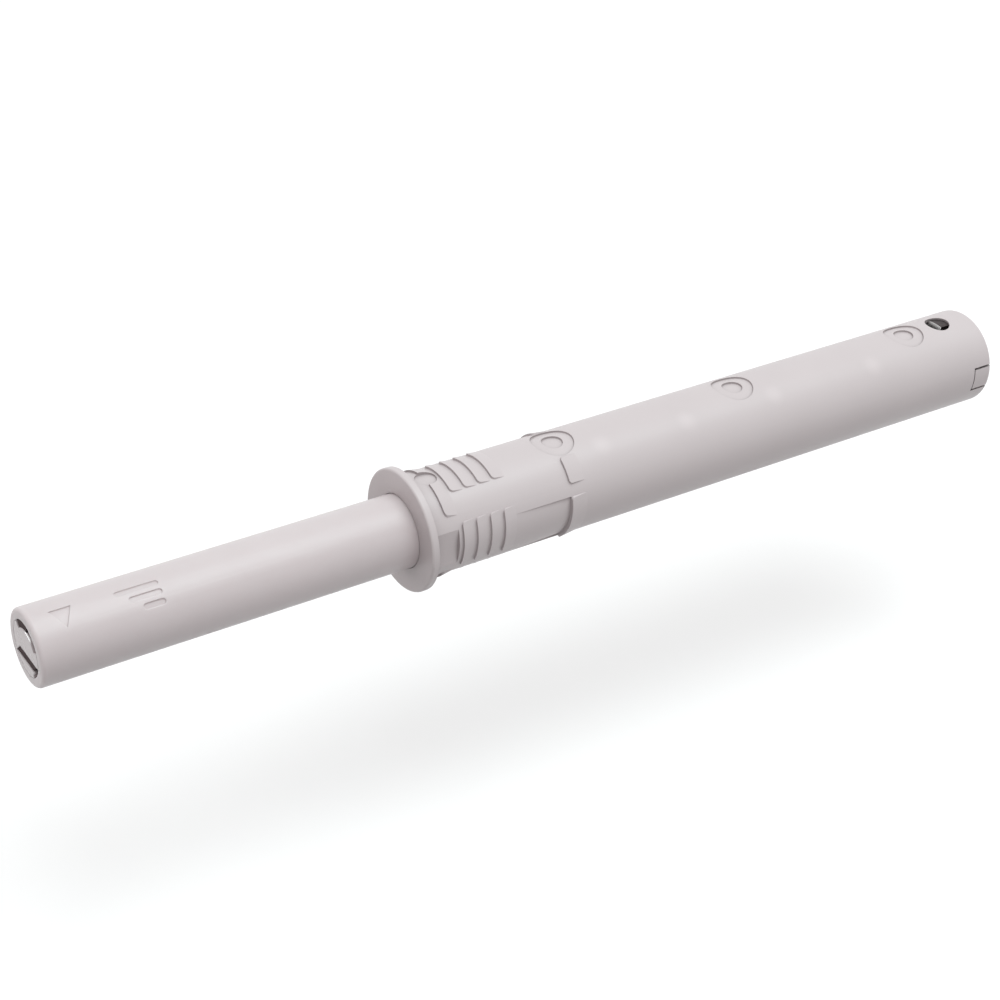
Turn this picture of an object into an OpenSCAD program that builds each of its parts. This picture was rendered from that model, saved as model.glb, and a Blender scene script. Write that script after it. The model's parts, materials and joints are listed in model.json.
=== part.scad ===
// Push to open catch for a drilled hole: a spring driven plunger with a magnet tip
// slides in a barbed barrel, and a heart shaped cam holds it when it is pushed in.
// X runs along the barrel from the plunger tip to the closed end, Z is up.
// The origin is on the axis, at the flange's back face, which stops the catch on the wood.

/* [Show] */
// piece to draw, or all of them

/* [Plunger] */
// length that stands out of the flange at rest
plunger_reach = 36.6; // [36:0.1:40]
// how far the plunger can be pushed in
stroke = 34; // [30:0.5:34]
// rounding of the tip's outer edge
tip_rounding = 0.35; // [0.1:0.05:0.6]
// depth of the pocket that takes the magnet unit
pocket_depth = 5.6; // [5.2:0.1:8]
// width of the ring around that pocket
pocket_rim = 0.97; // [0.8:0.01:1]
// thickness of the wall behind the pocket
pocket_wall = 1.2; // [0.8:0.1:2]
// thickness of the plunger's wall behind that
plunger_wall = 0.93; // [0.8:0.01:1]
// how far the plunger's end lies behind the flange
plunger_tail = 3.2; // [3.1:0.05:3.5]
// depth of the marks pressed into the plunger
mark_depth = 0.13; // [0.05:0.01:0.3]
// length of the arrow mark's straight side
arrow_side = 2.05; // [1:0.05:3]
// height of the arrow mark
arrow_height = 1.92; // [1:0.02:2.4]
// distance from the tip to the arrow mark
arrow_from_tip = 1.91; // [1.2:0.01:4]
// turn of the arrow mark from the top
arrow_turn = 24.9; // [10:0.1:60]
// distance from the tip to the far end of the bars
bars_from_tip = 11.83; // [10:0.01:20]
// length of the shortest bar
bar_length = 2.06; // [1:0.02:3]
// how much longer each next bar is
bar_step = 1.01; // [0.3:0.01:1.5]
// width of a bar
bar_width = 0.54; // [0.3:0.02:0.8]
// turn of the shortest bar from the top
bar_turn = 45.2; // [35:0.1:60]
// turn between bars
bar_spacing = 15; // [10:0.5:20]

/* [Barrel] */
// radius of the barrel, for a drilled hole of twice this
barrel_radius = 5; // [4.9:0.01:5.2]
// length behind the flange
barrel_length = 70; // [70:0.5:80]
// thickness of the barrel's wall
barrel_wall = 0.85; // [0.7:0.01:0.9]
// thickness of the barrel's wall around the rear seat and the cap
socket_wall = 0.4; // [0.3:0.01:0.5]
// length of that thinner part
socket_length = 5.8; // [5:0.1:7]
// rounding of the barrel's rear edge
rear_rounding = 0.3; // [0.1:0.02:0.35]
// how far the flange stands out around the barrel
flange_width = 1; // [0.6:0.05:3]
// thickness of the flange
flange_thickness = 0.72; // [0.6:0.02:1.5]
// rounding of the flange's front edge
flange_rounding = 0.22; // [0.05:0.01:0.3]
// how far the guide lip reaches behind the flange
lip_depth = 3; // [2.8:0.1:3.1]
// height of the guide lip above the chamber's wall
lip_height = 0.5; // [0.4:0.01:0.6]
// depth of each of the two flats
flat_depth = 0.35; // [0.2:0.01:0.4]
// length of the flats behind the flange
flat_length = 2.77; // [1:0.01:2.8]
// distance of the small dimple from the flange
dimple_near = 1.9; // [1.6:0.1:2.2]
// distance of the first stepped dimple from the flange
dimple_first = 16; // [15:0.1:20]
// distance of the second stepped dimple from the flange
dimple_second = 37.9; // [30:0.1:45]
// distance of the third stepped dimple from the flange
dimple_third = 61; // [52:0.1:61.5]
// radius of a dimple's middle
dimple_radius = 1.05; // [0.5:0.05:1.3]
// radius of a dimple's outer step
dimple_outer_radius = 2.13; // [1.5:0.01:2.3]
// depth of the small dimple
dimple_near_depth = 0.16; // [0.05:0.01:0.3]
// depth of a stepped dimple's middle
dimple_depth = 0.34; // [0.2:0.01:0.4]
// depth of a dimple's outer step
dimple_outer_depth = 0.16; // [0.03:0.01:0.18]
// distance of the round window's middle from the rear end
window_from_end = 4.2; // [4:0.1:5]
// radius of the round window
window_radius = 1.32; // [0.8:0.02:1.5]
// length of each notch in the rear end
notch_length = 2.38; // [2:0.02:3]
// width of each notch in the rear end
notch_width = 2.76; // [2:0.02:3.2]
// width of the key groove in the chamber
key_groove_width = 1.3; // [1:0.05:1.6]
// depth of the key groove in the chamber
key_groove_depth = 0.3; // [0.2:0.02:0.4]

/* [Barbs] */
// height of the barbs' crests above the barrel
barb_height = 0.2; // [0.1:0.01:0.3]
// distance of the first barb from the flange
barb_first = 1.66; // [1.4:0.01:2]
// distance between barbs
barb_pitch = 1.515; // [1.45:0.005:1.6]
// length of a barb's ramp
barb_ramp = 1.34; // [1:0.02:1.42]
// rounding of a barb's corners
barb_corner = 0.32; // [0.1:0.02:0.5]
// half of the turn that a barb covers
barb_spread = 28.5; // [20:0.5:32]
// half of the turn that the first barb covers
barb_first_spread = 53; // [40:0.5:56]
// distance of the separate row of barbs from the flange
far_barb = 15.3; // [14.8:0.05:15.4]
// length of the ramp in that row
far_barb_ramp = 1.8; // [1.2:0.05:1.85]
// middle of the narrow barbs in that row, turned from the top
far_narrow_turn = 42.5; // [38:0.5:44]
// half of the turn that a narrow barb covers
far_narrow_spread = 15.5; // [10:0.5:16]
// middle of the wide barbs in that row, turned from the top
far_wide_turn = 108; // [100:0.5:110]
// half of the turn that a wide barb covers
far_wide_spread = 36; // [20:0.5:37]
// length of the sunk ramp in front of the wide barbs
sink_length = 6.48; // [4:0.02:6.6]
// depth of the sunk ramp
sink_depth = 0.2; // [0.05:0.01:0.3]

/* [Magnet unit] */
// length of the magnet holder
holder_length = 5.2; // [5:0.1:5.5]
// thickness of the holder's front wall
holder_front = 1.2; // [0.8:0.05:1.4]
// upper edge of the straight slot, below the axis
slot_top = 0.6; // [0.4:0.02:0.8]
// width of the straight slot
slot_width = 0.9; // [0.6:0.02:1]
// how far the slot's ends slant to each side
slot_slant = 0.42; // [0.4:0.01:0.46]
// width of the gap that hooks down from the slot's end
slot_hook = 0.28; // [0.15:0.01:0.35]
// where that gap ends, turned from the top to -Y
slot_hook_end = 145; // [115:1:150]
// width of the fine gap above the slot's other end
side_gap = 0.08; // [0.05:0.01:0.15]
// where the fine gap starts, turned from the top to +Y
side_gap_start = 79; // [70:1:85]
// where the fine gap ends, turned from the top to +Y
side_gap_end = 108; // [90:1:112]
// width of the curved gap
crescent_width = 0.75; // [0.6:0.01:0.8]
// where the curved gap starts, turned from the top to +Y
crescent_start = 45.5; // [40:0.5:60]
// where the curved gap ends, turned from the top to -Y
crescent_end = 66.5; // [50:0.5:68]
// width of the holder beside the magnet
magnet_side = 0.97; // [0.9:0.01:1.4]
// height of the curved pole piece above the magnet
upper_pole_height = 1.32; // [1.3:0.01:1.6]
// length of the magnet and its pole pieces
magnet_length = 3.3; // [2.5:0.1:3.6]
// depth of the curved pole piece's edge in its gap
upper_pole_set_back = 0.04; // [0.02:0.01:0.5]
// turn left free where the curved pole piece's edge starts
pole_free_turn = 5; // [1:1:12]
// where the curved pole piece's edge ends, turned from the top to -Y
pole_edge_end = 9; // [0:1:40]
// depth of the flat pole piece's edge in its slot
lower_pole_set_back = 0.06; // [0.02:0.01:0.9]
// how far the flat pole piece stands out on each side of the magnet
lower_pole_side = 0.1; // [0.05:0.01:0.15]

/* [Carriage] */
// length of the collar
collar_length = 8; // [6:0.1:8]
// length of the stem inside the plunger
stem_length = 9.8; // [6:0.1:20]
// thickness of the stem's wall
stem_wall = 1.06; // [0.9:0.01:1.3]
// length of the spigot
spigot_length = 3.1; // [2.6:0.1:3.1]
// length of the key that runs in the groove
key_length = 4; // [2:0.1:6]
// thickness of the soft stop ring
stop_ring_thickness = 0.8; // [0.5:0.05:0.9]
// thickness of the steel washer under the spring
washer_thickness = 0.3; // [0.2:0.05:0.4]

/* [Latch] */
// length of the cam bar behind the carriage
cam_length = 14.9; // [14.5:0.1:14.9]
// width of the cam bar
cam_width = 3.6; // [3.4:0.1:4]
// height of the cam bar
cam_height = 2.6; // [2.4:0.1:2.6]
// length of the cam's shank inside the carriage
shank_length = 6; // [3:0.1:8]
// half of the width of the cam's track
track_half = 1.4; // [1.35:0.01:1.5]
// distance from the cam's rear end to the island
island_back = 4.8; // [4.7:0.05:5]
// distance from the cam's rear end to the island's horn
island_front = 8.5; // [8.3:0.05:8.6]
// half of the island's width
island_half = 0.55; // [0.45:0.01:0.6]
// depth of the notch in the island
island_notch = 0.7; // [0.5:0.05:0.8]
// distance from the cam's rear end to the tooth that faces the notch
tooth_place = 10.1; // [10.05:0.05:10.2]
// distance from the middle plane to the tooth's point
tooth_side = 0.08; // [0.05:0.01:0.1]
// length of the tooth's ramp
tooth_ramp = 0.6; // [0.55:0.05:0.7]
// length of the track past that tooth
track_past_tooth = 0.95; // [0.5:0.05:1]
// distance from the middle plane to the track's far corner and the latch pocket's edge
latch_side = 0.6; // [0.5:0.05:0.7]
// length of the track's last corner
track_corner = 0.5; // [0.3:0.05:0.6]
// length of the island's pointed end
island_nose = 1.2; // [0.8:0.05:1.3]
// distance from the island's horn to the lip below its notch
island_lip = 0.4; // [0.3:0.05:0.5]
// distance from the middle plane to that lip
island_lip_side = 0.25; // [0.2:0.01:0.3]
// distance from the island's horn to its heel
island_heel = 0.9; // [0.7:0.05:1]
// distance from the island's horn to the step at the lane's end
lane_stop = 1.5; // [1.3:0.05:1.7]
// length of the lane's slanted end
lane_corner = 1; // [0.8:0.05:1.2]
// distance from the island's horn to the latch pocket's low end
latch_reach = 1.2; // [1:0.05:1.4]
// depth of the cam's entry lane
lane_depth = 0.9; // [0.7:0.05:1]
// depth of the cam's floor around the island
shelf_depth = 0.7; // [0.5:0.05:0.75]
// depth of the cam's floor in the latch pocket
latch_depth = 0.8; // [0.75:0.05:0.85]
// radius of the follower's wire
follower_radius = 0.35; // [0.3:0.01:0.38]
// distance between the follower's two legs
follower_length = 11.9; // [11.7:0.1:12.1]
// offset of the follower from the middle plane
follower_offset = 0.42; // [0.38:0.01:0.45]
// distance of the follower's pivot from the cap's disc
pivot_set_back = 1.8; // [1.6:0.1:2]
// how far the pivot leg reaches below the axis
pivot_depth = 1.2; // [0.5:0.1:1.6]
// thickness of the leaf spring
leaf_thickness = 0.2; // [0.1:0.02:0.25]
// width of the leaf spring
leaf_width = 1.7; // [1:0.1:1.8]
// length of the leaf spring in front of the cap's disc
leaf_reach = 9.3; // [7.5:0.1:10.3]
// length of the leaf spring inside the cap's disc
leaf_root = 0.9; // [0.5:0.1:1.2]
// length of each part of the leaf spring's bent end
leaf_bend = 1.5; // [1:0.1:2]

/* [Ejector spring] */
// radius of the spring's wire
spring_wire_radius = 0.27; // [0.2:0.01:0.3]
// number of working coils
spring_coils = 20; // [12:1:24]
// number of closed turns at each end
spring_end_turns = 1.2; // [1:0.1:1.5]

/* [Rear seat] */
// length of the steel cup that the spring's last coils sit in
seat_length = 1.92; // [1.7:0.02:2]
// thickness of the cup's sheet
seat_sheet = 0.3; // [0.2:0.05:0.35]
// depth of the cup's lug below the barrel's surface
lug_set_back = 0.17; // [0.16:0.01:0.3]
// distance from the middle plane to the lug's cut corner
lug_side = 0.65; // [0.4:0.05:0.9]

/* [End cap] */
// length of the cap's spigot inside the spring
cap_spigot_length = 3.1; // [2.7:0.1:3.1]
// height of the snap bead around the cap
bead_height = 0.15; // [0.1:0.01:0.18]
// distance of the snap bead from the disc's inner face
bead_set_back = 0.4; // [0.2:0.05:0.6]
// width of the snap bead
bead_width = 0.5; // [0.3:0.05:0.6]
// gap between a notch's end and the cap's tab
tab_gap = 0.1; // [0.05:0.01:0.4]
// gap beside the cap's tab
tab_side_gap = 0.24; // [0.1:0.01:0.3]

/* [Fits] */
// radial gap of the plunger in the guide lip
guide_gap = 0.06; // [0.03:0.01:0.1]
// radial gap of the collar and the spring's coils in the chamber
collar_gap = 0.07; // [0.06:0.01:0.1]
// radial gap between the spring's coils and what they are centred on
spring_gap = 0.12; // [0.08:0.01:0.2]
// radial gap of the stem in the plunger
stem_gap = 0.05; // [0.03:0.01:0.1]
// gap of pieces that are pushed together
seat_gap = 0.03; // [0.01:0.01:0.05]
// gap beside the key in its groove
key_gap = 0.12; // [0.08:0.01:0.2]
// gap around the stop ring and the washer
ring_gap = 0.1; // [0.08:0.01:0.15]
// gap beside the follower's leg in its hole and above the cap
wire_gap = 0.05; // [0.03:0.01:0.08]

/* [Hidden] */
$fn = 72;
shell_colour = [0.80, 0.78, 0.77];
inner_colour = [0.93, 0.93, 0.91];
steel_colour = [0.72, 0.73, 0.75];
dark_steel_colour = [0.31, 0.28, 0.27];
rubber_colour = [0.15, 0.15, 0.16];
cut = 0.05;
sink_in = 0.3;
tip_place = -flange_thickness - plunger_reach;
chamber_radius = barrel_radius - barrel_wall;
socket_radius = barrel_radius - socket_wall;
socket_start = barrel_length - socket_length;
flange_radius = barrel_radius + flange_width;
flat_distance = barrel_radius - flat_depth;
barb_crest_radius = barrel_radius + barb_height;
lip_radius = chamber_radius - lip_height;
plunger_radius = lip_radius - guide_gap;
plunger_bore_radius = plunger_radius - plunger_wall;
pocket_radius = plunger_radius - pocket_rim;
crescent_inner = pocket_radius - crescent_width;
magnet_half_width = pocket_radius - magnet_side;
magnet_top = pocket_radius - upper_pole_height;
lower_pole_half_width = magnet_half_width + lower_pole_side;
stem_radius = plunger_bore_radius - stem_gap;
stem_hole_radius = stem_radius - stem_wall;
collar_radius = chamber_radius - collar_gap;
spring_radius = collar_radius - collar_gap - spring_wire_radius;
spigot_radius = spring_radius - spring_wire_radius - spring_gap;
bore_start = tip_place + pocket_depth + pocket_wall;
collar_start = lip_depth + stop_ring_thickness + cut;
collar_end = collar_start + collar_length;
spigot_end = collar_end + spigot_length;
cam_start = spigot_end + cut;
cam_end = cam_start + cam_length;
cap_start = barrel_length - notch_length + tab_gap;
spring_start = collar_end + washer_thickness;
cap_spigot_start = cap_start - cap_spigot_length;
seat_start = cap_start - seat_length;
seat_radius = socket_radius - ring_gap;
seat_floor = cap_start - seat_sheet;
window_place = barrel_length - window_from_end;
holder_radius = pocket_radius - seat_gap;
cam_top = cam_height / 2;
ledge_height = cam_top + 2 * wire_gap;
bend_radius = follower_radius + wire_gap;
arm_height = ledge_height + bend_radius;
foot_bottom = cam_top - shelf_depth + wire_gap;
pivot_place = cap_start - pivot_set_back;
foot_place = pivot_place - follower_length;
leaf_height = arm_height + bend_radius;
hook_start = 90 + asin(slot_top / pocket_radius);
slot_low = slot_top + slot_width;
holder_back = tip_place + holder_length;
magnet_start = tip_place + holder_front;
magnet_end = magnet_start + magnet_length;
touch_gap = 0.01;
ramp_end = tooth_place + tooth_ramp;
lane_end = island_front - lane_stop;
nose_end = island_back + island_nose;
// outlines on the cam, as distance from its rear end and distance to the side
track_outline = [[-cut, track_half], [ramp_end, track_half], [ramp_end, island_half],
    [tooth_place, tooth_side], [tooth_place + track_past_tooth, -latch_side],
    [tooth_place + track_corner, -track_half], [-cut, -track_half]];
island_outline = [[island_back, -tooth_side], [nose_end, island_half], [island_front, island_half],
    [island_front - island_notch, 0], [island_front - island_lip, -island_lip_side],
    [island_front - island_heel, -island_half], [nose_end, -island_half]];
lane_outline = [[-cut, track_half], [lane_end, track_half], [lane_end, 0],
    [island_back, -tooth_side], [island_back - lane_corner, -track_half], [-cut, -track_half]];
latch_outline = [[island_front - latch_reach, 0], [island_front, island_half],
    [tooth_place, tooth_side], [tooth_place - track_corner, -latch_side],
    [island_front - island_lip, -latch_side]];

housing();
end_cap();
plunger();
magnet_holder();
magnet();
upper_pole();
lower_pole();
carriage();
stop_ring();
spring_washer();
ejector_spring();
heart_cam();
follower_wire();
leaf_spring();
spring_seat();

// turns a flat profile, drawn as radius and distance, about the X axis
module turned(from = 0, turn = 360) {
    rotate([0, 90, 0])
        rotate_extrude(angle = turn, start = 180 + from)
            children();
}

// round bar along X
module bar(from, to, radius) {
    translate([from, 0, 0])
        rotate([0, 90, 0])
            cylinder(h = to - from, r = radius);
}

// block between two corners
module block(low, high) {
    translate(low)
        cube(high - low);
}

// profile of a disc whose edge at the low end is rounded
module rounded_profile(from, to, radius, rounding) {
    translate([0, from + rounding])
        square([radius, to - from - rounding]);
    translate([0, from])
        square([radius - rounding, to - from]);
    translate([radius - rounding, from + rounding])
        circle(r = rounding);
}

// round bar whose edge at the high end is rounded
module rear_rounded_bar(from, to, radius) {
    turned()
        mirror([0, 1])
            rounded_profile(-to, -from, radius, rear_rounding);
}

// flat outline of a slot with round ends, along X
module slot_outline(from, to, width) {
    translate([from + width / 2, -width / 2])
        square([to - from - width, width]);
    for (end = [from + width / 2, to - width / 2])
        translate([end, 0])
            circle(r = width / 2);
}

// outer shape of a barb's ramp, all the way round
module barb_ring(at, ramp) {
    turned()
        polygon([[barrel_radius - sink_in, at], [barb_crest_radius, at],
            [barrel_radius, at + ramp], [barrel_radius - sink_in, at + ramp]]);
}

// one barb: its ramp rises towards the flange and ends in a steep face
module barb(at, ramp, turn, spread) {
    half = barrel_radius * sin(spread);
    rotate([turn, 0, 0])
        intersection() {
            barb_ring(at, ramp);
            linear_extrude(height = 2 * barrel_radius) {
                translate([at + barb_corner, -half])
                    square([ramp, 2 * half]);
                translate([at, -half + barb_corner])
                    square([ramp, 2 * (half - barb_corner)]);
                for (side = [-1, 1])
                    translate([at + barb_corner, side * (half - barb_corner)])
                        circle(r = barb_corner);
            }
        }
}

module barbs() {
    for (turn = [0, 180])
        barb(barb_first, barb_ramp, turn, barb_first_spread);
    for (row = [1:4])
        for (turn = [0, 90, 180, 270])
            barb(barb_first + row * barb_pitch, barb_ramp, turn, barb_spread);
    for (turn = [-far_narrow_turn, far_narrow_turn])
        barb(far_barb, far_barb_ramp, turn, far_narrow_spread);
    for (turn = [-far_wide_turn, far_wide_turn])
        barb(far_barb, far_barb_ramp, turn, far_wide_spread);
}

// sunk ramp in front of a wide barb
module sink(turn) {
    outside = barb_crest_radius + sink_in;
    turned(turn - far_wide_spread, 2 * far_wide_spread)
        polygon([[barrel_radius, far_barb - sink_length], [outside, far_barb - sink_length],
            [outside, far_barb], [barrel_radius - sink_depth, far_barb]]);
}

// round dimple of even depth in the top of the barrel
module dimple(at, radius, depth) {
    difference() {
        translate([at, 0, 0])
            cylinder(h = 2 * barrel_radius, r = radius);
        bar(at - 2 * radius, at + 2 * radius, barrel_radius - depth);
    }
}

module housing_openings() {
    bar(-flange_thickness - cut, lip_depth + cut, lip_radius);
    bar(lip_depth, barrel_length + cut, chamber_radius);
    bar(socket_start, barrel_length + cut, socket_radius);
    block([lip_depth, -key_groove_width / 2, -chamber_radius - key_groove_depth],
        [barrel_length + cut, key_groove_width / 2, 0]);
    turned()
        translate([socket_radius - cut, cap_start + bead_set_back])
            square([bead_height + seat_gap + cut, bead_width + 2 * seat_gap]);
    translate([window_place, 0, 0])
        cylinder(h = 2 * barrel_radius, r = window_radius);
    block([barrel_length - notch_length, -2 * barrel_radius, -notch_width / 2],
        [barrel_length + cut, 2 * barrel_radius, notch_width / 2]);
    for (side = [0, 180])
        rotate([side, 0, 0])
            block([0, flat_distance, -barrel_radius],
                [flat_length, 2 * barrel_radius, barrel_radius]);
    dimple(dimple_near, dimple_radius, dimple_near_depth);
    for (at = [dimple_first, dimple_second, dimple_third]) {
        dimple(at, dimple_radius, dimple_depth);
        dimple(at, dimple_outer_radius, dimple_outer_depth);
    }
}

module housing() {
    color(shell_colour)
        difference() {
            union() {
                difference() {
                    rear_rounded_bar(-cut, barrel_length, barrel_radius);
                    for (side = [-1, 1])
                        sink(side * far_wide_turn);
                }
                turned()
                    rounded_profile(-flange_thickness, 0, flange_radius, flange_rounding);
                barbs();
            }
            housing_openings();
        }
}

module end_cap() {
    tab_half = notch_width / 2 - tab_side_gap;
    tab_inner = socket_radius - sink_in;
    slot_half = leaf_width / 2 + seat_gap;
    color(shell_colour)
        difference() {
            union() {
                bar(cap_start, barrel_length, socket_radius - seat_gap);
                bar(cap_spigot_start, cap_start + cut, spigot_radius);
                turned()
                    translate([socket_radius - sink_in, cap_start + bead_set_back + seat_gap])
                        square([bead_height + sink_in, bead_width]);
                for (side = [0, 180])
                    intersection() {
                        rear_rounded_bar(cap_start, barrel_length, barrel_radius);
                        rotate([side, 0, 0])
                            block([cap_start, tab_inner, -tab_half],
                                [barrel_length, barrel_radius, tab_half]);
                    }
            }
            block([cap_spigot_start - cut, -leaf_width, ledge_height],
                [cap_start, leaf_width, barrel_radius]);
            block([cap_start - cut, follower_offset - slot_half, leaf_height - seat_gap],
                [cap_start + leaf_root + seat_gap, follower_offset + slot_half,
                    leaf_height + leaf_thickness + seat_gap]);
            translate([pivot_place, follower_offset, -pivot_depth - wire_gap])
                cylinder(h = barrel_radius, r = follower_radius + wire_gap);
        }
}

// mark outlines are drawn on a plane above the plunger and sunk to an even depth
module pressed(turn) {
    difference() {
        rotate([turn, 0, 0])
            linear_extrude(height = 2 * plunger_radius)
                children();
        bar(tip_place, 0, plunger_radius - mark_depth);
    }
}

module marks() {
    pressed(arrow_turn)
        translate([tip_place + arrow_from_tip, 0])
            polygon([[0, arrow_height / 2], [arrow_side, arrow_height / 2],
                [arrow_side / 2, -arrow_height / 2]]);
    for (place = [0:2])
        pressed(bar_turn - place * bar_spacing)
            slot_outline(tip_place + bars_from_tip - bar_length - place * bar_step,
                tip_place + bars_from_tip, bar_width);
}

module plunger() {
    color(shell_colour)
        difference() {
            turned()
                rounded_profile(tip_place, plunger_tail, plunger_radius, tip_rounding);
            bar(tip_place - cut, tip_place + pocket_depth, pocket_radius);
            bar(bore_start, plunger_tail + cut, plunger_bore_radius);
            marks();
        }
}

// curved strip around the top of the pocket
module crescent(from, to, inner, outer, end) {
    turned(pole_free_turn - crescent_start, end + crescent_start - pole_free_turn)
        translate([inner, from])
            square([outer - inner, to - from]);
}

// flat bar below the magnet, with slanted ends
module pole_bar(from, to, half, top, low) {
    translate([from, 0, 0])
        rotate([90, 0, 90])
            linear_extrude(height = to - from)
                polygon([[-half - slot_slant, -top], [half - slot_slant, -top],
                    [half + slot_slant, -low], [-half + slot_slant, -low]]);
}

module magnet_holder() {
    front = tip_place - cut;
    back = holder_back + cut;
    magnet_half = magnet_half_width + seat_gap;
    pole_half = lower_pole_half_width + seat_gap;
    color(shell_colour)
        difference() {
            bar(tip_place, holder_back, holder_radius);
            block([magnet_start, -magnet_half, -slot_low], [back, magnet_half, magnet_top]);
            block([magnet_start, -pocket_radius, magnet_top], [back, pocket_radius, pocket_radius]);
            turned(-crescent_start, crescent_start + crescent_end)
                translate([crescent_inner, front])
                    square([crescent_width, magnet_start - front]);
            crescent(front, back, crescent_inner, pocket_radius, pole_edge_end + pole_free_turn);
            block([front, -pocket_radius, -slot_low], [magnet_start, 0, -slot_top]);
            pole_bar(front, back, pole_half, slot_top, slot_low);
            turned(hook_start, slot_hook_end - hook_start)
                translate([holder_radius - slot_hook, front])
                    square([2 * slot_hook, holder_front]);
            turned(-side_gap_end, side_gap_end - side_gap_start)
                translate([holder_radius - side_gap, front])
                    square([2 * side_gap, holder_front]);
        }
}

module magnet() {
    color(steel_colour)
        block([magnet_start, -magnet_half_width, -slot_top],
            [magnet_end, magnet_half_width, magnet_top]);
}

module upper_pole() {
    outer = holder_radius - seat_gap;
    color(dark_steel_colour)
        union() {
            intersection() {
                bar(magnet_start, magnet_end, outer);
                block([magnet_start, -pocket_radius, magnet_top + seat_gap],
                    [magnet_end, pocket_radius, pocket_radius]);
            }
            crescent(tip_place + upper_pole_set_back, magnet_end, crescent_inner + seat_gap,
                outer, pole_edge_end);
        }
}

module lower_pole() {
    color(dark_steel_colour)
        intersection() {
            bar(tip_place, magnet_end, holder_radius - seat_gap);
            pole_bar(tip_place + lower_pole_set_back, magnet_end + cut, lower_pole_half_width,
                slot_top + seat_gap, slot_low - seat_gap);
        }
}

module carriage() {
    key_half = key_groove_width / 2 - key_gap;
    key_bottom = chamber_radius + key_groove_depth - key_gap;
    color(inner_colour)
        difference() {
            union() {
                bar(collar_start - stem_length, collar_start + cut, stem_radius);
                bar(collar_start, collar_end, collar_radius);
                bar(collar_end - cut, spigot_end, spigot_radius);
                block([collar_start, -key_half, -key_bottom],
                    [collar_start + key_length, key_half, -spigot_radius]);
            }
            bar(collar_start - stem_length - cut, spigot_end + cut, stem_hole_radius);
        }
}

module stop_ring() {
    color(rubber_colour)
        turned()
            translate([plunger_radius + ring_gap, lip_depth])
                square([chamber_radius - plunger_radius - cut - ring_gap, stop_ring_thickness]);
}

module spring_washer() {
    color(dark_steel_colour)
        turned()
            translate([spigot_radius + ring_gap, collar_end])
                square([collar_radius - spigot_radius - 2 * ring_gap, washer_thickness]);
}

// pocket of even depth sunk into the top of the cam
module cam_pocket(depth) {
    translate([cam_end, 0, cam_top + cut])
        rotate([0, 180, 0])
            linear_extrude(height = depth + cut)
                difference() {
                    children();
                    polygon(island_outline);
                }
}

module heart_cam() {
    color(inner_colour)
        difference() {
            union() {
                block([cam_start, -cam_width / 2, -cam_top], [cam_end, cam_width / 2, cam_top]);
                bar(cam_start - shank_length, cam_start + cut, stem_hole_radius - seat_gap);
            }
            cam_pocket(shelf_depth)
                polygon(track_outline);
            cam_pocket(lane_depth)
                polygon(lane_outline);
            cam_pocket(latch_depth)
                polygon(latch_outline);
        }
}

module wire_bend(start) {
    rotate([90, 0, 0])
        rotate_extrude(angle = 90, start = start)
            translate([bend_radius, 0])
                circle(r = follower_radius);
}

module follower_wire() {
    color(steel_colour)
        translate([0, follower_offset, 0]) {
            translate([0, 0, arm_height])
                bar(foot_place + bend_radius, pivot_place - bend_radius, follower_radius);
            translate([foot_place + bend_radius, 0, ledge_height])
                wire_bend(90);
            translate([pivot_place - bend_radius, 0, ledge_height])
                wire_bend(0);
            translate([foot_place, 0, foot_bottom])
                cylinder(h = ledge_height - foot_bottom, r = follower_radius);
            translate([pivot_place, 0, -pivot_depth])
                cylinder(h = ledge_height + pivot_depth, r = follower_radius);
        }
}

// sheet cup around the spring's last coils, with a pressed lug that snaps into the window
module spring_seat() {
    seat_inner = seat_radius - seat_sheet;
    lug_radius = window_radius - ring_gap;
    lug_top = barrel_radius - lug_set_back;
    color(dark_steel_colour)
        difference() {
            union() {
                turned()
                    translate([seat_inner, seat_start])
                        square([seat_sheet, seat_length]);
                turned()
                    translate([spigot_radius + ring_gap, seat_floor])
                        square([seat_radius - spigot_radius - ring_gap, seat_sheet]);
                intersection() {
                    bar(seat_start, cap_start, lug_top);
                    translate([window_place, 0, seat_inner])
                        cylinder(h = barrel_radius, r = lug_radius);
                }
            }
            intersection() {
                translate([window_place, 0, 0])
                    cylinder(h = lug_top - seat_sheet, r = lug_radius - seat_sheet);
                block([seat_start + seat_sheet, -lug_radius, 0],
                    [cap_start, lug_radius, barrel_radius]);
            }
            block([seat_start - cut, -barrel_radius, seat_radius],
                [cap_start, -lug_side, barrel_radius]);
        }
}

module leaf_spring() {
    tip = cap_start - leaf_reach;
    touch = tip + leaf_bend;
    bend = touch + leaf_bend;
    root = cap_start + leaf_root;
    rise = leaf_thickness + wire_gap;
    color(steel_colour)
        translate([0, follower_offset + leaf_width / 2, leaf_height])
            rotate([90, 0, 0])
                linear_extrude(height = leaf_width)
                    polygon([[tip, rise], [touch, touch_gap - wire_gap], [bend, 0], [root, 0],
                        [root, leaf_thickness], [bend, leaf_thickness],
                        [touch, leaf_thickness + touch_gap - wire_gap], [tip, rise + leaf_thickness]]);
}

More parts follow.
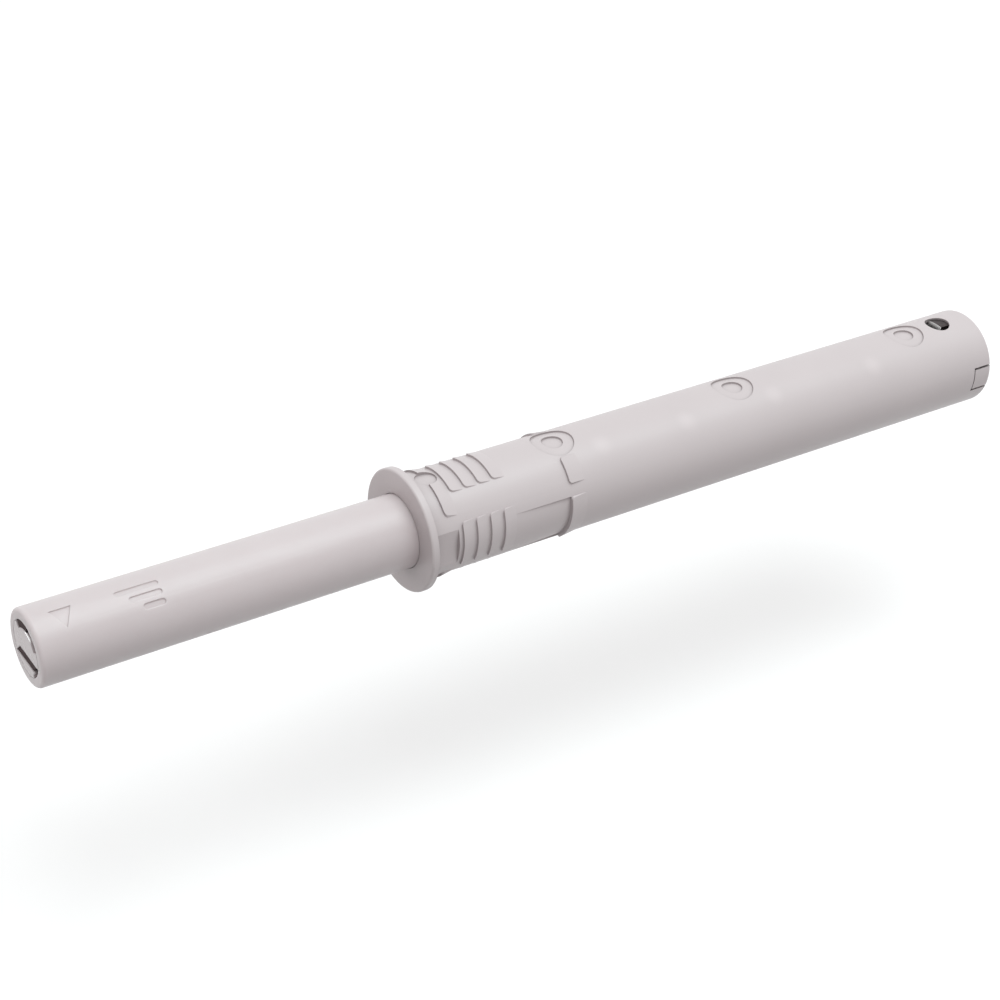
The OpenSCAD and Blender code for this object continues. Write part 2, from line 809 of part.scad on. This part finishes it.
// the wire's path: closed turns at both ends and even coils between them
spring_turns = spring_coils + 2 * spring_end_turns;
steps_per_turn = 16;
spring_steps = round(spring_turns * steps_per_turn);
wire_sides = 6;
closed_pitch = 2 * spring_wire_radius + wire_gap;
spring_low = spring_start + spring_wire_radius + seat_gap;
spring_high = seat_floor - spring_wire_radius - seat_gap;
closed_length = spring_end_turns * closed_pitch;
open_pitch = (spring_high - spring_low - 2 * closed_length) / spring_coils;
function along(turn) = turn < spring_end_turns ? spring_low + turn * closed_pitch
    : turn < spring_end_turns + spring_coils
        ? spring_low + closed_length + (turn - spring_end_turns) * open_pitch
        : spring_high - (spring_turns - turn) * closed_pitch;
function ring_point(step, side) =
    let (turn = spring_turns * step / spring_steps)
    let (out = spring_radius + spring_wire_radius * cos(side * 360 / wire_sides))
    let (across = spring_wire_radius * sin(side * 360 / wire_sides))
    [along(turn) + across, out * cos(turn * 360), out * sin(turn * 360)];
function corner(step, side) = step * wire_sides + side % wire_sides;

module ejector_spring() {
    points = [for (step = [0:spring_steps]) for (side = [0:wire_sides - 1]) ring_point(step, side)];
    skin = [for (step = [0:spring_steps - 1]) for (side = [0:wire_sides - 1])
        each [[corner(step, side), corner(step, side + 1), corner(step + 1, side + 1)],
            [corner(step, side), corner(step + 1, side + 1), corner(step + 1, side)]]];
    ends = [[for (side = [wire_sides - 1:-1:0]) corner(0, side)],
        [for (side = [0:wire_sides - 1]) corner(spring_steps, side)]];
    color(steel_colour)
        polyhedron(points, concat(skin, ends));
}
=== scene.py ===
"""Looks of the push to open catch, in metres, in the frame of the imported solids.

Every solid of the frame gets a procedural finish. Only the spring is drawn anew, as a round wire.
"""
import json
import math

import bmesh
import bpy
from mathutils import Euler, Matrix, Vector

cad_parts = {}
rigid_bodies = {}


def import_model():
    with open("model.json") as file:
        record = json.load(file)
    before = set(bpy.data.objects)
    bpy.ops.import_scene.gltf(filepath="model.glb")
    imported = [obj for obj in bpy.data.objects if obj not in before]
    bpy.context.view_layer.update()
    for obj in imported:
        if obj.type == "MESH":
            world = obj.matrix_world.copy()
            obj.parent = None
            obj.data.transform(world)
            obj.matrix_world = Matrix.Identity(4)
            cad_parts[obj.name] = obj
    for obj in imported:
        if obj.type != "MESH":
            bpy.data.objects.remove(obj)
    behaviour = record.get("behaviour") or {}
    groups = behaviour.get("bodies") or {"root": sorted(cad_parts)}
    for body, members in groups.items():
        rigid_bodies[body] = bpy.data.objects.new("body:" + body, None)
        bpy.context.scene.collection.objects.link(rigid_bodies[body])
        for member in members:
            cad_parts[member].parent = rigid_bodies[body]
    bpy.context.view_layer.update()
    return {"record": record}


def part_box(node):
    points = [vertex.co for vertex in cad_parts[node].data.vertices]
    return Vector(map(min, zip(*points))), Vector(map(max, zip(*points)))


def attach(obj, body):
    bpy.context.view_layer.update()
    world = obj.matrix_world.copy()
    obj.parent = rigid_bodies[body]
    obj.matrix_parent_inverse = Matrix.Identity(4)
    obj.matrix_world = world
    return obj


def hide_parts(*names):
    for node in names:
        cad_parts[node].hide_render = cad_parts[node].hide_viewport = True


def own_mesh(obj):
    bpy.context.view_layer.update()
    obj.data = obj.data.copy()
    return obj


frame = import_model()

MM = 0.001
WHITE = (1.0, 1.0, 1.0, 1.0)

# camera: place and turn relative to the barrel's axis, from the photograph's perspective, and the
# nearest and farthest that it sees
CAMERA_PLACE = (-85.353 * MM, -135.222 * MM, 110.575 * MM)
CAMERA_TURN = (56.1967, -3.2857, -33.1182)
CAMERA_LENS = 75.353
SENSOR_WIDTH = 36.0
CAMERA_REACH = (0.001, 10.0)

# floor, which glows a little to the camera and is greyer as a reflector of light
FLOOR_HEIGHT = -30 * MM
FLOOR_SIZE = 0.6
FLOOR_COLOUR = (0.88, 0.85, 0.85, 1.0)
FLOOR_ROUGHNESS = 0.9
FLOOR_GLOW = 0.2
FLOOR_GREY = (0.37, 0.37, 0.37, 1.0)

# light: strength of the surroundings, then each lamp's place, size, power in watts and colour
WORLD_FILL = 0.56
LAMP_AIM = (15 * MM, 0, 0)
LAMPS = {
    "key": ((0.15, -0.16, 1.0), 0.78, 6.7, (0.88, 1.0, 1.0)),
    "far_side": ((-0.35, 0.25, -0.02), 0.2, 0.25, (1.0, 1.0, 1.0)),
}

# spring, from the solids' own sizes
SPRING_RADIUS = 3.74 * MM
WIRE_RADIUS = 0.27 * MM
WORKING_COILS = 20
CLOSED_TURNS = 1.2
CLOSED_PITCH = 0.59 * MM
CLOSED_LENGTH = CLOSED_TURNS * CLOSED_PITCH
ALL_COILS = WORKING_COILS + 2 * CLOSED_TURNS
STEPS_PER_TURN = 28
WIRE_SIDES = 10

# colours, linear
SHELL_COLOUR = (0.655, 0.575, 0.582, 1.0)
PLUNGER_COLOUR = (0.705, 0.622, 0.629, 1.0)
INNER_COLOUR = (0.80, 0.80, 0.77, 1.0)
STEEL_COLOUR = (0.078, 0.065, 0.066, 1.0)
STEEL_TINT = (0.45, 0.42, 0.42, 1.0)
PLATED_COLOUR = (0.50, 0.50, 0.51, 1.0)
BARE_COLOUR = (0.90, 0.88, 0.87, 1.0)
WIRE_COLOUR = (0.62, 0.61, 0.60, 1.0)
RUBBER_COLOUR = (0.02, 0.02, 0.02, 1.0)

# finish that most pieces share: roughness and radius of the soft edges
SATIN = 0.38
SMALL_EDGE = 0.05 * MM

# noises: features per metre, detail and roughness, and the values between which they mostly lie
CLOUDS = (180.0, 2.0, 0.5)
SHEEN = (900.0, 3.0, 0.5)
MOULD_GRAIN = (5200.0, 3.0, 0.6)
STAINS = (700.0, 3.0, 0.5)
RUBBER_SHEEN = (1500.0, 2.0, 0.5)
RUBBER_GRAIN = (4000.0, 2.0, 0.5)
NOISE_MIDDLE = (0.3, 0.7)

# what the noises change: brightness as a factor, roughness as a difference
CLOUD_SHADES = (0.975, 1.02)
STEEL_SHADES = (0.7, 1.3)
SHEEN_CHANGE = (-0.03, 0.04)
STAIN_CHANGE = (-0.05, 0.08)
RUBBER_ROUGHNESS = (0.65, 0.8)

# relief of the grain: strength and depth
PLASTIC_RELIEF = (0.12, 0.02 * MM)
STEEL_RELIEF = (0.25, 0.01 * MM)
RUBBER_RELIEF = (0.2, 0.02 * MM)

# rays for soft edges and for the painted shade in corners
PLASTIC_EDGE_RAYS = 6
STEEL_EDGE_RAYS = 8
PAINTED_SHADE_RAYS = 8

# plastic: refraction, then the share of the light that enters where it has depth, equally far
# in each colour
PLASTIC_IOR = 1.5
ENTERING_LIGHT = 0.8
ENTERING_REACH = (1.0, 1.0, 1.0)

# painted shade: the plastic's colour is darkened in corners and between parts, where shade falls
# darkening in corners: how far it reaches, how closed, how dark, and what counts as open
HOUSING_PAINTED_SHADE = ((6.0 * MM, 0.5, 0.72),)
CAP_PAINTED_SHADE = ((0.45 * MM, 0.35, 0.3),)
OPEN_AIR = 0.95

# edges: cosine of the bevel's turn where an edge starts and where it is full
EDGE_TURN = (0.99, 0.93)

# cut faces of the sheet: how far they look toward the tip, from start to full, and how metallic
CUT_LOOK = (-0.8, -0.95)
CUT_METALLIC = 0.35

# painted glint: there the plastic is painted white and made metallic to show a highlight
# glint part of the tip's curved edge: axis, where it starts and where it is full
PAINTED_GLINT_LIMITS = (("Z", 1.2 * MM, 1.5 * MM), ("Y", 0.05 * MM, -0.2 * MM),
              ("Y", -1.35 * MM, -1.05 * MM))

# painted highlights: bright patches painted into the colour where the moulding would reflect light
# faint bright patches on the barrel: place along it and degrees from the top
PAINTED_HIGHLIGHT_SPOTS = ((20.3 * MM, 26), (30.4 * MM, 29), (41.4 * MM, 30), (54.5 * MM, 32))
BARREL_RADIUS = 5.0 * MM
SPOT_REACH = 1.5 * MM
SPOT_PAINTED_LIGHT = 0.075


def add_object(name, data):
    """Puts a new object with this data into the scene."""
    piece = bpy.data.objects.new(name, data)
    bpy.context.scene.collection.objects.link(piece)
    return piece


def add_node(tree, kind, inputs=(), **settings):
    """New node with its settings. A value or another node's output goes into each input."""
    node = tree.nodes.new(kind)
    for setting, value in settings.items():
        setattr(node, setting, value)
    for key, value in dict(inputs).items():
        if isinstance(value, bpy.types.NodeSocket):
            tree.links.new(value, node.inputs[key])
        else:
            node.inputs[key].default_value = value
    return node


def new_material(name):
    """Material with an empty node tree."""
    material = bpy.data.materials.new(name)
    material.use_nodes = True
    material.node_tree.nodes.clear()
    return material, material.node_tree


def finish_material(tree, inputs):
    """Closes a material's tree with a shader that has these inputs."""
    shader = add_node(tree, "ShaderNodeBsdfPrincipled", inputs)
    add_node(tree, "ShaderNodeOutputMaterial", {"Surface": shader.outputs[0]})


def combine(tree, operation, first, second):
    """Result of a calculation with two values."""
    return add_node(tree, "ShaderNodeMath", {0: first, 1: second}, operation=operation).outputs[0]


def ramp(tree, value, start, full, low=0.0, high=1.0, **settings):
    """Goes from low to high while the value goes from start to full."""
    inputs = {"Value": value, "From Min": start, "From Max": full, "To Min": low, "To Max": high}
    return add_node(tree, "ShaderNodeMapRange", inputs, **settings).outputs["Result"]


def mix_colours(tree, share, first, second):
    """The first colour where share is 0, the second where it is 1."""
    inputs = {"Factor": share, "A": first, "B": second}
    return add_node(tree, "ShaderNodeMix", inputs, data_type="RGBA").outputs["Result"]


def shades(colour, factors):
    """The same colour at each of these brightnesses."""
    return [[min(1.0, channel * factor) for channel in colour[:3]] + [1.0] for factor in factors]


def object_place(tree):
    """Place on the object in the frame's metres."""
    return add_node(tree, "ShaderNodeTexCoord").outputs["Object"]


def noise(tree, scale, detail=2.0, roughness=0.5):
    """Noise over the object's place."""
    inputs = {"Vector": object_place(tree), "Scale": scale, "Detail": detail,
              "Roughness": roughness}
    return add_node(tree, "ShaderNodeTexNoise", inputs).outputs["Fac"]


def spread(tree, value, low, high):
    """Maps the noise's middle range to low and high."""
    return ramp(tree, value, *NOISE_MIDDLE, low, high)


def uneven(tree, pattern, rough, changes):
    """Roughness that differs a little from place to place."""
    return spread(tree, noise(tree, *pattern), *(rough + change for change in changes))


def painted_corner_shade(tree, reach, open_from, shade):
    """Painted shade: darkens the colour where corners are hidden from light, to shade where little
    is open and 1 where all is.
    """
    occlusion = add_node(tree, "ShaderNodeAmbientOcclusion", {"Distance": reach},
                         samples=PAINTED_SHADE_RAYS)
    return ramp(tree, occlusion.outputs["AO"], open_from, OPEN_AIR, shade)


def soft_edge(tree, radius, rays):
    """Surface direction with edges softened by this radius."""
    return add_node(tree, "ShaderNodeBevel", {"Radius": radius}, samples=rays).outputs["Normal"]


def rounded(tree, soft):
    """1 on edges, where the soft direction leaves the surface's own, 0 elsewhere."""
    own = add_node(tree, "ShaderNodeNewGeometry").outputs["Normal"]
    turn = add_node(tree, "ShaderNodeVectorMath", {0: soft, 1: own}, operation="DOT_PRODUCT")
    return ramp(tree, turn.outputs["Value"], *EDGE_TURN)


def relief(tree, height, strength, depth, soft=None):
    """Fine relief in the shading, over the softened edges if these are given."""
    inputs = {"Strength": strength, "Distance": depth, "Height": height}
    if soft is not None:
        inputs["Normal"] = soft
    return add_node(tree, "ShaderNodeBump", inputs).outputs["Normal"]


def painted_highlight_spots(tree, spots):
    """Painted highlights: 1 on the bare surface and slightly more on each soft bright patch
    painted where the moulding would reflect light.
    """
    place = object_place(tree)
    level = 1.0
    for along, turn in spots:
        angle = math.radians(turn)
        centre = (along, -BARREL_RADIUS * math.sin(angle), BARREL_RADIUS * math.cos(angle))
        away = add_node(tree, "ShaderNodeVectorMath", {0: place, 1: centre}, operation="DISTANCE")
        glow = ramp(tree, away.outputs["Value"], SPOT_REACH, 0.0, 0.0, SPOT_PAINTED_LIGHT,
                    interpolation_type="SMOOTHSTEP")
        level = combine(tree, "ADD", glow, level)
    return level


def painted_glint(tree, soft):
    """Painted glint: 1 on the part of the tip's curved edge painted bright as a highlight, 0
    elsewhere.
    """
    share = rounded(tree, soft)
    parts = add_node(tree, "ShaderNodeSeparateXYZ", {0: object_place(tree)})
    for axis, start, full in PAINTED_GLINT_LIMITS:
        share = combine(tree, "MULTIPLY", share, ramp(tree, parts.outputs[axis], start, full))
    return share


def cut_face(tree):
    """1 on the sheet's cut faces, which look along the barrel, 0 elsewhere."""
    normal = add_node(tree, "ShaderNodeTexCoord").outputs["Normal"]
    parts = add_node(tree, "ShaderNodeSeparateXYZ", {0: normal})
    return ramp(tree, parts.outputs["X"], *CUT_LOOK)


def moulded_plastic(name, colour, rough, edge, corners=(), depth=0.0, glint_colour=None, spots=()):
    """Satin moulded plastic: soft cloudiness, fine grain, softened edges, painted shade in corners
    and painted highlight patches.

    Light enters it by depth, and the colour given for the edge is painted, white and metallic, as
    a glint on the bright part of its edge.
    """
    material, tree = new_material(name)
    surface = mix_colours(tree, noise(tree, *CLOUDS), *shades(colour, CLOUD_SHADES))
    # painted shade in corners and painted highlight patches scale the colour
    factors = [painted_corner_shade(tree, *corner) for corner in corners]
    if spots:
        factors.append(painted_highlight_spots(tree, spots))
    for factor in factors:
        surface = add_node(tree, "ShaderNodeVectorMath", {0: surface, "Scale": factor},
                           operation="SCALE").outputs[0]
    soft = soft_edge(tree, edge, PLASTIC_EDGE_RAYS)
    inputs = {
        "Base Color": surface,
        "Roughness": uneven(tree, SHEEN, rough, SHEEN_CHANGE),
        "IOR": PLASTIC_IOR,
        "Normal": relief(tree, noise(tree, *MOULD_GRAIN), *PLASTIC_RELIEF, soft),
    }
    # painted glint: white, metallic colour on the bright part of the edge
    if glint_colour:
        share = painted_glint(tree, soft)
        inputs["Base Color"] = mix_colours(tree, share, surface, glint_colour)
        inputs["Metallic"] = share
    if depth:
        inputs["Subsurface Weight"] = ENTERING_LIGHT
        inputs["Subsurface Radius"] = ENTERING_REACH
        inputs["Subsurface Scale"] = depth
    finish_material(tree, inputs)
    return material


def metal(name, colour, rough, edge, grain, tint=WHITE, cut_colour=None):
    """Steel with fine grain, slight stains and soft edges of one even colour.

    With a cut colour, only the cut faces have soft edges, and they are bare and less metallic.
    """
    material, tree = new_material(name)
    surface = mix_colours(tree, spread(tree, noise(tree, grain), 0.0, 1.0),
                          *shades(colour, STEEL_SHADES))
    if cut_colour:
        cut = cut_face(tree)
        soft = soft_edge(tree, ramp(tree, cut, 0.0, 1.0, 0.0, edge), STEEL_EDGE_RAYS)
        surface = mix_colours(tree, cut, surface, cut_colour)
        metallic = ramp(tree, cut, 0.0, 1.0, 1.0, CUT_METALLIC)
    else:
        soft = soft_edge(tree, edge, STEEL_EDGE_RAYS)
        surface = mix_colours(tree, rounded(tree, soft), surface, colour)
        metallic = 1.0
    finish_material(tree, {
        "Base Color": surface,
        "Metallic": metallic,
        "Specular Tint": tint,
        "Roughness": uneven(tree, STAINS, rough, STAIN_CHANGE),
        "Normal": relief(tree, noise(tree, grain), *STEEL_RELIEF, soft),
    })
    return material


def rubber(name, colour):
    """Soft matt rubber."""
    material, tree = new_material(name)
    finish_material(tree, {
        "Base Color": colour,
        "Roughness": spread(tree, noise(tree, *RUBBER_SHEEN), *RUBBER_ROUGHNESS),
        "Normal": relief(tree, noise(tree, *RUBBER_GRAIN), *RUBBER_RELIEF),
    })
    return material


def dress():
    """Gives every carried-over solid its finish, and returns the finishes by slot."""
    finishes = {
        # the housing's colour carries painted shade near the flange and in corners, and painted
        # highlight patches
        "shell": moulded_plastic("shell_plastic", SHELL_COLOUR, rough=SATIN, edge=SMALL_EDGE,
                                 corners=HOUSING_PAINTED_SHADE, spots=PAINTED_HIGHLIGHT_SPOTS),
        "inner": moulded_plastic("inner_plastic", INNER_COLOUR, rough=0.42, edge=SMALL_EDGE),
        "steel": metal("dark_steel", STEEL_COLOUR, rough=0.30, edge=0.03 * MM, grain=4000.0,
                       tint=STEEL_TINT),
        "magnet": metal("plated_magnet", PLATED_COLOUR, rough=0.22, edge=SMALL_EDGE, grain=2000.0),
        "spring_wire": metal("spring_steel", WIRE_COLOUR, rough=0.15, edge=0.01 * MM,
                             grain=5000.0),
        "rubber": rubber("soft_rubber", RUBBER_COLOUR),
    }
    for part in frame["record"]["subparts"]:
        piece = bpy.data.objects[part["node"]]
        piece.data.materials.clear()
        piece.data.materials.append(finishes[part["material_slot"]])
    own = {
        "plunger": moulded_plastic("plunger_plastic", PLUNGER_COLOUR, rough=SATIN, edge=0.12 * MM,
                                   depth=0.5 * MM),
        # the insert's curved edge carries a painted white glint
        "magnet_holder": moulded_plastic("insert_plastic", SHELL_COLOUR, rough=0.25,
                                         edge=0.25 * MM, glint_colour=WHITE),
        # the cap's colour carries painted shade in its corners
        "end_cap": moulded_plastic("cap_plastic", SHELL_COLOUR, rough=SATIN, edge=SMALL_EDGE,
                                   corners=CAP_PAINTED_SHADE),
        "spring_seat": metal("cut_sheet_steel", STEEL_COLOUR, rough=SATIN, edge=0.8 * MM,
                             grain=4000.0, cut_colour=BARE_COLOUR),
    }
    for node, material in own.items():
        bpy.data.objects[node].data.materials[0] = material
    return finishes


def spring_point(turn, side, low, high):
    """A point on the spring wire's skin."""
    pitch = (high - low - 2 * CLOSED_LENGTH) / WORKING_COILS
    if turn < CLOSED_TURNS:
        along = low + turn * CLOSED_PITCH
    elif turn < CLOSED_TURNS + WORKING_COILS:
        along = low + CLOSED_LENGTH + (turn - CLOSED_TURNS) * pitch
    else:
        along = high - (ALL_COILS - turn) * CLOSED_PITCH
    angle = 2 * math.pi * turn
    around = 2 * math.pi * side / WIRE_SIDES
    out = SPRING_RADIUS + WIRE_RADIUS * math.cos(around)
    return Vector((along + WIRE_RADIUS * math.sin(around),
                   out * math.cos(angle), out * math.sin(angle)))


def build_spring(low, high):
    """Round wire helix with closed turns at both ends."""
    steps = round(ALL_COILS * STEPS_PER_TURN)
    mesh = bmesh.new()
    rings = [[mesh.verts.new(spring_point(ALL_COILS * step / steps, side, low, high))
              for side in range(WIRE_SIDES)] for step in range(steps + 1)]
    for first, second in zip(rings, rings[1:]):
        for side in range(WIRE_SIDES):
            after = (side + 1) % WIRE_SIDES
            mesh.faces.new((first[side], first[after], second[after], second[side])).smooth = True
    mesh.faces.new(rings[0][::-1])
    mesh.faces.new(rings[-1])
    bmesh.ops.recalc_face_normals(mesh, faces=mesh.faces)
    data = bpy.data.meshes.new("spring_coil")
    mesh.to_mesh(data)
    mesh.free()
    return add_object("spring_coil", data)


def seen_directly(tree):
    """1 for camera, glossy and transmission rays, 0 for the rest."""
    rays = add_node(tree, "ShaderNodeLightPath").outputs
    seen = combine(tree, "MAXIMUM", rays["Is Camera Ray"], rays["Is Glossy Ray"])
    return combine(tree, "MAXIMUM", seen, rays["Is Transmission Ray"])


def build_stage():
    """Pale floor: white to the camera with the object's shadow, greyer as a reflector of light."""
    bpy.ops.mesh.primitive_plane_add(size=FLOOR_SIZE, location=(0, 0, FLOOR_HEIGHT))
    floor = bpy.context.object
    floor.name = "floor"
    material, tree = new_material("pale_floor")
    pale = add_node(tree, "ShaderNodeBsdfPrincipled",
                    {"Base Color": FLOOR_COLOUR, "Roughness": FLOOR_ROUGHNESS})
    glow = add_node(tree, "ShaderNodeEmission", {"Strength": FLOOR_GLOW})
    bright = add_node(tree, "ShaderNodeAddShader", {0: pale.outputs[0], 1: glow.outputs[0]})
    grey = add_node(tree, "ShaderNodeBsdfDiffuse", {"Color": FLOOR_GREY})
    either = add_node(tree, "ShaderNodeMixShader",
                      {0: seen_directly(tree), 1: grey.outputs[0], 2: bright.outputs[0]})
    add_node(tree, "ShaderNodeOutputMaterial", {"Surface": either.outputs[0]})
    floor.data.materials.append(material)


def build_world():
    """Even pale surroundings, white to the camera and in reflections."""
    world = bpy.data.worlds.new("studio")
    bpy.context.scene.world = world
    world.use_nodes = True
    tree = world.node_tree
    tree.nodes.clear()
    fill = add_node(tree, "ShaderNodeBackground", {"Color": WHITE, "Strength": WORLD_FILL})
    white = add_node(tree, "ShaderNodeBackground", {"Color": WHITE, "Strength": 1.0})
    either = add_node(tree, "ShaderNodeMixShader",
                      {0: seen_directly(tree), 1: fill.outputs[0], 2: white.outputs[0]})
    add_node(tree, "ShaderNodeOutputWorld", {"Surface": either.outputs[0]})


def build_lamp(name, place, size, power, colour):
    """Soft square lamp that looks at the object."""
    data = bpy.data.lights.new(name, "AREA")
    data.shape = "SQUARE"
    data.size = size
    data.energy = power
    data.color = colour
    piece = add_object(name, data)
    piece.location = place
    look = Vector(LAMP_AIM) - Vector(place)
    piece.rotation_euler = look.to_track_quat("-Z", "Y").to_euler()


def build_camera():
    """Camera in the photograph's place."""
    data = bpy.data.cameras.new("camera")
    data.lens = CAMERA_LENS
    data.sensor_width = SENSOR_WIDTH
    data.clip_start, data.clip_end = CAMERA_REACH
    camera = add_object("camera", data)
    camera.location = CAMERA_PLACE
    camera.rotation_euler = Euler([math.radians(turn) for turn in CAMERA_TURN], "XYZ")
    bpy.context.scene.camera = camera


build_camera()
build_world()
build_stage()
finishes = dress()

spring_low, spring_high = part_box("ejector_spring")
coil = build_spring(spring_low[0] + WIRE_RADIUS, spring_high[0] - WIRE_RADIUS)
coil.data.materials.append(finishes["spring_wire"])
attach(coil, "barrel")
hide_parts("ejector_spring")
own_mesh(coil)

for name, settings in LAMPS.items():
    build_lamp(name, *settings)

scene = bpy.context.scene
scene.view_settings.view_transform = "Standard"
